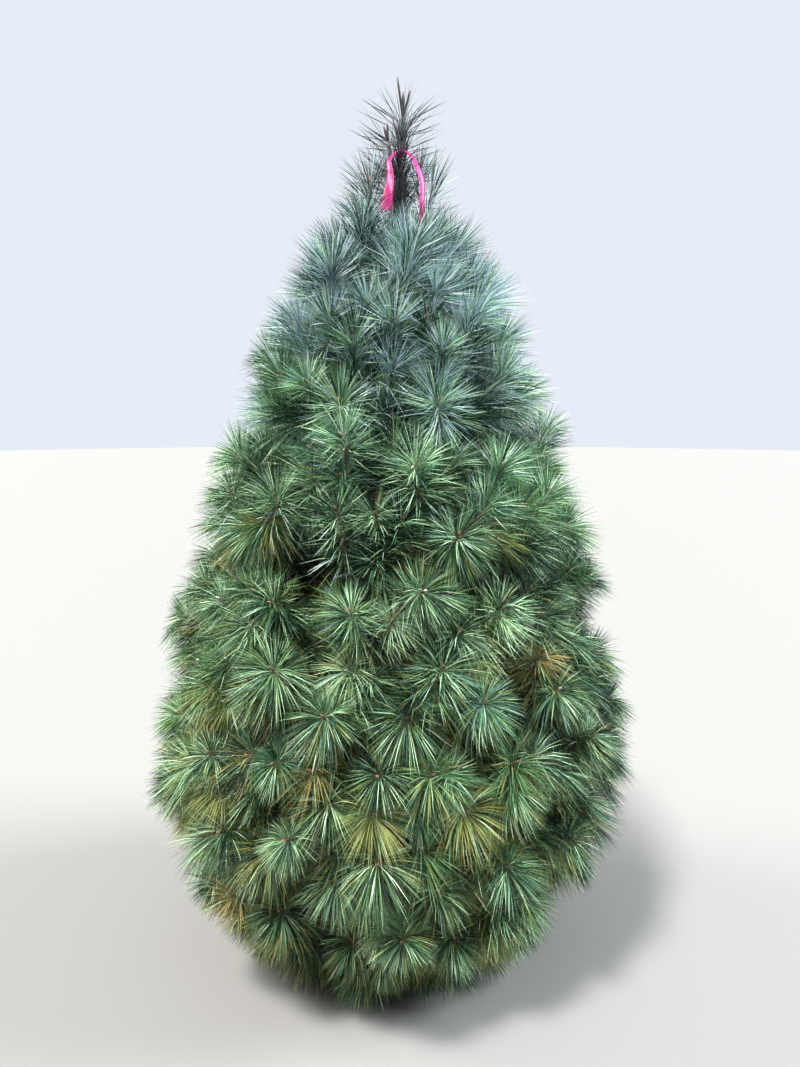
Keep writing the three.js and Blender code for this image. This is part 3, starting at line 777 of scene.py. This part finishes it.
def mottle_group():
    """Mottle: soft blotches with a fine grain in them, as a mask from 0 to 1."""
    group = bpy.data.node_groups.new("Mottle", "ShaderNodeTree")
    for label in MOTTLE_INPUTS:
        group.interface.new_socket(label, in_out="INPUT", socket_type="NodeSocketFloat")
    group.interface.new_socket("Mask", in_out="OUTPUT", socket_type="NodeSocketFloat")
    nodes, links = group.nodes, group.links
    given, out = nodes.new("NodeGroupInput"), nodes.new("NodeGroupOutput")
    place = nodes.new("ShaderNodeTexCoord")
    squeeze = nodes.new("ShaderNodeVectorMath")
    squeeze.operation = "MULTIPLY"
    thin = nodes.new("ShaderNodeCombineXYZ")
    for axis in "XY":
        thin.inputs[axis].default_value = 1
    links.new(given.outputs["Stretch"], thin.inputs["Z"])
    links.new(place.outputs["Object"], squeeze.inputs[0])
    links.new(thin.outputs["Vector"], squeeze.inputs[1])
    masks = []
    for label, detail in (("Blotch scale", 3), ("Grain scale", 5)):
        texture = nodes.new("ShaderNodeTexNoise")
        texture.inputs["Detail"].default_value = detail
        links.new(squeeze.outputs["Vector"], texture.inputs["Vector"])
        links.new(given.outputs[label], texture.inputs["Scale"])
        masks.append(texture.outputs["Fac"])
    blend = nodes.new("ShaderNodeMix")
    links.new(given.outputs["Grain share"], blend.inputs["Factor"])
    links.new(masks[0], blend.inputs["A"])
    links.new(masks[1], blend.inputs["B"])
    sharpen = nodes.new("ShaderNodeMapRange")
    sharpen.inputs["From Min"].default_value = MASK_RANGE[0]
    sharpen.inputs["From Max"].default_value = MASK_RANGE[1]
    links.new(blend.outputs["Result"], sharpen.inputs["Value"])
    links.new(sharpen.outputs["Result"], out.inputs["Mask"])
    return group


def rough_in_places(name, mottle_values, roughness):
    """A material between two roughnesses, its shader, and the mask that its Mottle values give."""
    material = bpy.data.materials.new(name)
    material.use_nodes = True
    nodes, links = material.node_tree.nodes, material.node_tree.links
    shader = nodes["Principled BSDF"]
    mottle = nodes.new("ShaderNodeGroup")
    mottle.node_tree = MOTTLE
    for label, value in zip(MOTTLE_INPUTS, mottle_values):
        mottle.inputs[label].default_value = value
    rough = nodes.new("ShaderNodeMapRange")
    rough.inputs["To Min"].default_value = roughness[0]
    rough.inputs["To Max"].default_value = roughness[1]
    links.new(mottle.outputs["Mask"], rough.inputs["Value"])
    links.new(rough.outputs["Result"], shader.inputs["Roughness"])
    return material, shader, mottle.outputs["Mask"]


def mottled(name, dark, light, mottle_values, roughness, bump):
    """A material that varies between two colours and two roughnesses, with relief."""
    material, shader, mask = rough_in_places(name, mottle_values, roughness)
    nodes, links = material.node_tree.nodes, material.node_tree.links
    mix = nodes.new("ShaderNodeMix")
    mix.data_type = "RGBA"
    mix.inputs["A"].default_value = (*dark, 1)
    mix.inputs["B"].default_value = (*light, 1)
    links.new(mask, mix.inputs["Factor"])
    links.new(mix.outputs["Result"], shader.inputs["Base Color"])
    relief = nodes.new("ShaderNodeBump")
    relief.inputs["Strength"].default_value = bump
    relief.inputs["Distance"].default_value = RELIEF_DEPTH
    links.new(mask, relief.inputs["Height"])
    links.new(relief.outputs["Normal"], shader.inputs["Normal"])
    return material


def needle_material(name, colour):
    """A plain base colour with a satin surface that is rougher in places."""
    material, shader, _ = rough_in_places(name, NEEDLE_MOTTLE, NEEDLE_ROUGHNESS)
    shader.inputs["Base Color"].default_value = (*colour, 1)
    sheen = DEEP_SHEEN if name.startswith("deep") else NEEDLE_SHEEN
    shader.inputs["Specular IOR Level"].default_value = sheen
    return material


# The tree

def trunk_mesh():
    """The trunk with furrowed bark, and a swelling where each whorl of boughs leaves it."""
    heights = FORK_HEIGHT * np.linspace(0, 1, TRUNK_RINGS) ** RING_CROWDING
    radii = np.zeros((TRUNK_RINGS, TRUNK_SIDES))
    path = np.array([trunk_centre(height) for height in heights])
    side, _ = square_to(UP)
    for i, height in enumerate(heights):
        collar = sum(math.exp(-(((height - w["attach"]) / COLLAR_HEIGHT) ** 2)) for w in WHORLS)
        for k in range(TRUNK_SIDES):
            azimuth = math.atan2(side[1], side[0]) + 2 * math.pi * k / TRUNK_SIDES
            across, deep = FURROWS_ROUND * math.cos(azimuth), FURROWS_ROUND * math.sin(azimuth)
            spot = Vector((across, deep, FURROWS_ALONG * height))
            plates = noise.noise(spot * PLATE_SCALE) + CRACK_SHARE * noise.noise(spot * CRACK_SCALE)
            relief = FURROW_DEPTH * plates * min(1, trunk_radius(height, 0) / TRUNK_RADIUS)
            radii[i, k] = trunk_radius(height, azimuth) + relief + COLLAR_DEPTH * collar
    return tube(path, radii, TRUNK_SIDES, level=True)


def bough_mesh(space):
    """A bough with a collar on the trunk, and rough bark."""
    line = space.limb_line(BOUGH_POINTS)
    last = round(space.seam * (BOUGH_POINTS - 1))
    root = trunk_radius(space.whorl["attach"], 0) * BOUGH_ROOT
    first = np.argmax(line[:, 0] > root)
    path = line[np.linspace(first, last, BOUGH_RINGS).round().astype(int)]
    out = lengths(path)
    radii = np.zeros((BOUGH_RINGS, BOUGH_SIDES))
    for i in range(BOUGH_RINGS):
        plain = space.limb_radius(space.seam * i / (BOUGH_RINGS - 1))
        collar = 1 + COLLAR_SWELL * math.exp(-out[i] / COLLAR_REACH)
        for k in range(BOUGH_SIDES):
            turn = 2 * math.pi * k / BOUGH_SIDES
            along = out[i] * ROUGH_ALONG + space.azimuth * ROUGH_APART
            spot = Vector((math.cos(turn), math.sin(turn), along))
            relief = ROUGH_DEPTH * noise.noise(spot * ROUGH_SCALE)
            radii[i, k] = plain * (collar + relief)
    return tube(space.on_tree(path), radii, BOUGH_SIDES)


def stem_mesh(space):
    """The stem that goes on from a bough, or from the trunk where there is none, to its end."""
    last = STEM_POINTS - 1
    first = round(space.seam * last) - 1 if space.whorl["limbs"] else 1
    path = space.limb_line(STEM_POINTS)[first:]
    radii = [space.limb_radius(at) for at in np.linspace(first / last, 1, len(path))]
    path, radii = space.on_tree(path[::STEM_STRIDE]), np.array(radii)[::STEM_STRIDE]
    return tube(path, radii, BOUGH_SIDES // 2)


def bud_mesh(tip, way, random):
    """A pointed middle bud with smaller ones round it."""
    made = []
    side, other = square_to(way)
    for k in range(SIDE_BUDS + 1):
        lean = math.radians(SIDE_BUD_LEAN) if k else 0
        turn = k * 2 * math.pi / SIDE_BUDS + random.uniform(-BUD_TURN_SCATTER, BUD_TURN_SCATTER)
        ray = way * math.cos(lean) + (side * math.cos(turn) + other * math.sin(turn)) * math.sin(lean)
        scatter = random.uniform(1 - BUD_SIZE_SCATTER, 1 + BUD_SIZE_SCATTER)
        size = (SIDE_BUD_SHARE if k else 1) * scatter
        shares, swell = np.array(BUD_PROFILE).T
        path = tip + np.outer(shares * BUD_LENGTH * size, ray)
        made.append(tube(path, BUD_RADIUS * size * swell, BUD_SIDES))
    return made


def candle_meshes(tip, candles):
    """Bare buds that stand up from a leader's tip."""
    made = []
    for length, lean in candles:
        sideways, upwards = math.sin(math.radians(lean)), math.cos(math.radians(lean))
        way = np.array([sideways, -CANDLE_FORWARD * abs(sideways), upwards])
        shares = np.linspace(-CANDLE_ROOT, 1, len(CANDLE_PROFILE))
        path = tip + np.outer(shares * length, way)
        made.append(tube(path, CANDLE_RADIUS * np.array(CANDLE_PROFILE), CANDLE_SIDES))
    return made


class Leader:
    """The leader above the fork, and the side leader that runs up beside it."""

    def __init__(self):
        foot = trunk_centre(FORK_HEIGHT)
        top = np.array([foot[0] + LEADER_LEAN, foot[1], LEADER_TOP])
        upright = (foot[0], foot[1], (foot[2] + top[2]) / 2)
        self.stem = curve(foot, upright, top, LEADER_POINTS)
        side_top = (foot[0] - SIDE_LEADER_OUT, foot[1] - SIDE_LEADER_FORWARD, SIDE_LEADER_TOP)
        self.side = curve(SIDE_LEADER_FOOT, SIDE_LEADER_BEND, side_top, LEADER_POINTS)

    def wood(self):
        thick = FORK_RADIUS * np.linspace(1, 1 - LEADER_TAPER, LEADER_POINTS)
        thin = SIDE_LEADER_RADIUS * np.linspace(1, 1 - SIDE_LEADER_TAPER, LEADER_POINTS)
        below = trunk_line(DARK_BARK_FROM, SKIN_RINGS)
        skin = [trunk_radius(height, 0) + BARK_SKIN for height in below[:, 2]]
        return [
            tube(self.stem, thick, LEADER_SIDES),
            tube(self.side, thin, SIDE_LEADER_SIDES),
            tube(below, skin, LEADER_SIDES),
        ]

    def candles(self):
        return candle_meshes(self.stem[-1], CANDLES) + candle_meshes(self.side[-1], SIDE_CANDLES)

    def needles(self, random):
        below = trunk_line(LEADER_NEEDLES_FROM, POINTS_BELOW)
        whole = np.concatenate([below[:-1], self.stem])
        made = [
            Needles(whole, LEADER_NEEDLES, LEADER_NEEDLE, LEADER_TUFT, random, 1),
            Needles(self.side, SIDE_LEADER_NEEDLES, LEADER_NEEDLE, SIDE_LEADER_TUFT, random, 1),
        ]
        for end in CLINGING_ENDS:
            part = whole[:-end]
            made.append(Needles(part, CLINGING_NEEDLES, CLINGING_LENGTH, CLINGING_TUFT, random, 1))
        return made


def cut_corners(points, rounds):
    """A smoother line through about the same places, with the same ends."""
    for _ in range(rounds):
        nearer = (1 - CORNER_SHARE) * points[:-1] + CORNER_SHARE * points[1:]
        further = CORNER_SHARE * points[:-1] + (1 - CORNER_SHARE) * points[1:]
        between = np.stack([nearer, further], axis=1).reshape(-1, points.shape[1])
        points = np.concatenate([points[:1], between, points[-1:]])
    return points


def strip(path, across, width, cut=0.0):
    """A thin curled strip along a path, its width along some ways and its first end slanting."""
    along = unit(np.gradient(path, axis=0))
    out = unit(np.cross(across, along))
    shares = np.linspace(-0.5, 0.5, TAPE_COLUMNS)
    curl = TAPE_CURL * (1 - 4 * shares**2)
    sheet = path[:, None] + across[:, None] * width * shares[:, None] + out[:, None] * curl[:, None]
    sheet[0] -= along[0] * (cut * width * shares)[:, None]
    skins = [sheet + side * out[:, None] * TAPE_THICKNESS / 2 for side in (1, -1)]
    rows, columns = sheet.shape[:2]
    loop = np.concatenate([skins[0], skins[1][:, ::-1]], axis=1)
    k = np.arange(columns - 1)
    twin = 2 * columns - 1 - k
    halves = [np.stack([k, twin, k + 1], axis=-1), np.stack([k + 1, twin, twin - 1], axis=-1)]
    first = np.concatenate(halves)
    last = first[:, ::-1] + (rows - 1) * 2 * columns
    return loop.reshape(-1, 3), np.concatenate([walls(rows, 2 * columns), first, last])


def tape_path():
    """The points of the tape's line, and the ways that its width runs at them."""
    line = cut_corners(np.array(TAPE_POINTS), CORNER_CUTS)
    path, turns = line[:, :3], np.radians(line[:, 3:])
    along = unit(np.gradient(path, axis=0))
    facing = unit(np.cross(along, (0, 1, 0)))
    return path, facing * np.cos(turns) + np.cross(facing, along) * np.sin(turns)


def tape_meshes(leader):
    """The tape: a tie round the leader, and the long strip that arches over it with its ends down."""
    stem = leader.stem[np.argmin(abs(leader.stem[:, 2] - TIE_HEIGHT))]
    turns = np.linspace(0, 2 * math.pi, TIE_POINTS)
    ring = np.stack([np.cos(turns), np.sin(turns), 0 * turns], axis=1)
    tie = stem * (1, 1, 0) + (FORK_RADIUS + TIE_GAP) * ring + TIE_HEIGHT * UP
    upwards = np.tile(UP, (TIE_POINTS, 1))
    return [strip(*tape_path(), TAPE_WIDTH, TAPE_CUT), strip(tie, upwards, TIE_WIDTH)]


def needle_pieces(shoots, leader, random):
    """The needles of all shoots, joined by whorl's slot and tint."""
    gathered = {}

    def gather(slot, needles, tints, keep, width):
        for tint in np.unique(tints[keep]):
            chosen = keep & (tints == tint)
            count = chosen.sum()
            widths = width * (1 + WIDTH_SCATTER * random.uniform(-1, 1, count))
            rolls = random.uniform(0, math.pi, count)
            ends = (needles.roots[chosen], needles.middles[chosen], needles.tips[chosen])
            gathered.setdefault((slot, tint), []).append(blades(*ends, widths, rolls))

    for shoot in shoots:
        length, width = shoot.needle_size()
        length *= 1 + TUFT_SIZE_SCATTER * random.uniform(-1, 1)
        needles = Needles(shoot.path, shoot.count(), length, shoot.tuft(), random)
        keep = needles.fit()
        if shoot.height > THIN_HEIGHTS[0]:
            keep &= needles.clear_of(in_view)
        tints = np.repeat(dealt_tints(shoot, needles.age, random), BUNDLE)
        gather(SLOTS[min(shoot.whorl, len(SLOTS) - 1)], needles, tints, keep, width)
    for needles in leader.needles(random):
        tints = np.full(len(needles.age), TINT_NAMES.index("shade"))
        gather(SLOTS[-1], needles, tints, needles.clear_of(tape), LEADER_NEEDLE_WIDTH)

    skins = {name: needle_material(f"{name} needles", colour) for name, colour in TINTS.items()}
    for (slot, tint), parts in gathered.items():
        name = TINT_NAMES[tint]
        nodes = {"deep": foliage_nodes(slot), "shade": ["foliage_leader"]}.get(name, ())
        piece(f"{slot}_{name}", parts, skins[name], nodes, slot)


def foliage_nodes(slot):
    """The solids whose needles have a slot."""
    names = []
    for index, whorl in enumerate(WHORLS):
        if SLOTS[min(index, len(SLOTS) - 1)] == slot:
            names += [f"foliage_{index + 1}_{n + 1}" for n in range(whorl["boughs"])]
    return names


MOTTLE = mottle_group()
materials = {name: mottled(name, *values) for name, values in SKINS.items()}

spaces = [Space(index, n) for index, w in enumerate(WHORLS) for n in range(w["boughs"])]
random = np.random.default_rng(SEED)
shoots = [shoot for space in spaces for shoot in grown_shoots(space, random)]
tape = tape_path()[0]
open_heights = np.linspace(*OPEN_STEM, OPEN_STEM_POINTS)
stem_front = [trunk_centre(height) - [0, STEM_FRONT, 0] for height in open_heights]
in_view = np.concatenate([tape, stem_front])
shoots = [s for s in shoots if np.linalg.norm(in_view - s.path[-1], axis=1).min() > SHOOT_CLEAR]
leader = Leader()

boughs = [bough_mesh(space) for space in spaces if space.whorl["limbs"]]
bough_nodes = [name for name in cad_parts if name.startswith("bough_")]
piece("trunk_bark", [trunk_mesh()], materials["bark"], ["trunk"], "bark")
piece("bough_bark", boughs, materials["bark"], bough_nodes, "bark")
twigs, dark_twigs = [stem_mesh(space) for space in spaces], leader.wood()
radii = np.linspace(TWIG_FOOT_RADIUS, TWIG_TIP_RADIUS, SHOOT_POINTS)
for shoot in shoots:
    kin = dark_twigs if shoot.height > DARK_TWIGS_FROM else twigs
    kin.append(tube(shoot.path, radii, TWIG_SIDES))
piece("twigs", twigs, materials["twig bark"], slot="bark")
piece("leader_bark", dark_twigs, materials["leader bark"], slot="bark")
budded = [shoot for shoot in shoots if shoot.kind != "old"]
resinous = random.uniform(0, 1, len(budded)) < RESIN_SHARE
for name, skin, chosen in (("buds", "bud scales", ~resinous), ("resin_buds", "bud resin", resinous)):
    tips = [(shoot.path[-1], shoot.way) for shoot, taken in zip(budded, chosen) if taken]
    piece(name, [bud for tip, way in tips for bud in bud_mesh(tip, way, random)], materials[skin])
piece("candles", leader.candles(), materials["candle scales"])
piece("tape", tape_meshes(leader), materials["pink plastic"])
needle_pieces(shoots, leader, random)


# Floor, lights and camera

FLOOR_SIDES = 96
FLOOR_RADIUS = 30
FLOOR_COLOUR = (0.17, 0.168, 0.163)
FLOOR_ROUGHNESS = 0.9
SKY_LIGHT = (0.145, 0.157, 0.18)
SKY_SEEN = (0.80, 0.85, 0.93)  # by the camera
# Where each light stands, its strength, its softness in degrees and its colour
LIGHTS = {
    "key": ((-1.7, -2.0, 4.9), 8.1, 10, (1.0, 0.98, 0.96)),
    "above": ((0.4, -0.4, 5.0), 2.0, 60, (0.92, 0.96, 1.0)),
    "left rim": ((-4.0, 1.0, 2.4), 4.8, 30, (1.0, 0.97, 0.88)),
    "right rim": ((4.0, 0.2, 2.3), 8.8, 30, (0.90, 0.97, 1.0)),
}


def plain_floor():
    bpy.ops.mesh.primitive_circle_add(vertices=FLOOR_SIDES, radius=FLOOR_RADIUS, fill_type="NGON")
    floor = bpy.context.object
    floor.name = "floor"
    material = bpy.data.materials.new("floor")
    material.use_nodes = True
    shader = material.node_tree.nodes["Principled BSDF"]
    shader.inputs["Base Color"].default_value = (*FLOOR_COLOUR, 1)
    shader.inputs["Roughness"].default_value = FLOOR_ROUGHNESS
    floor.data.materials.append(material)
    floor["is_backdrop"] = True


def sun(name, place, strength, softness, colour):
    """A soft light from far away, on the side where a place is."""
    data = bpy.data.lights.new(name, "SUN")
    data.energy = strength
    data.angle = math.radians(softness)
    data.color = colour
    light = bpy.data.objects.new(name, data)
    light.rotation_euler = (-Vector(place)).to_track_quat("-Z", "Y").to_euler()
    bpy.context.scene.collection.objects.link(light)


def studio():
    """Soft light from a pale surround, which is brighter to the camera than as a light."""
    bpy.context.scene.view_settings.view_transform = "Standard"
    world = bpy.data.worlds.new("studio")
    world.use_nodes = True
    nodes, links = world.node_tree.nodes, world.node_tree.links
    seen = nodes.new("ShaderNodeLightPath")
    mix = nodes.new("ShaderNodeMix")
    mix.data_type = "RGBA"
    mix.inputs["A"].default_value = (*SKY_LIGHT, 1)
    mix.inputs["B"].default_value = (*SKY_SEEN, 1)
    links.new(seen.outputs["Is Camera Ray"], mix.inputs["Factor"])
    links.new(mix.outputs["Result"], nodes["Background"].inputs["Color"])
    bpy.context.scene.world = world
    for name, light in LIGHTS.items():
        sun(name, *light)


def camera():
    data = bpy.data.cameras.new("camera")
    data.lens = CAMERA_LENS
    data.sensor_width = CAMERA_FILM
    made = bpy.data.objects.new("camera", data)
    made.location = CAMERA_PLACE
    made.rotation_euler = (math.radians(CAMERA_TILT), 0, 0)
    bpy.context.scene.collection.objects.link(made)
    bpy.context.scene.camera = made


plain_floor()
studio()
camera()

triangles = [len(made.data.polygons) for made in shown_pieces()]
print("triangles", sum(triangles), "largest", max(triangles), "shoots", len(shoots))
boxes = {"cad": cad_box, "visual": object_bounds()}
{name: [list(corner) for corner in box] for name, box in boxes.items()}
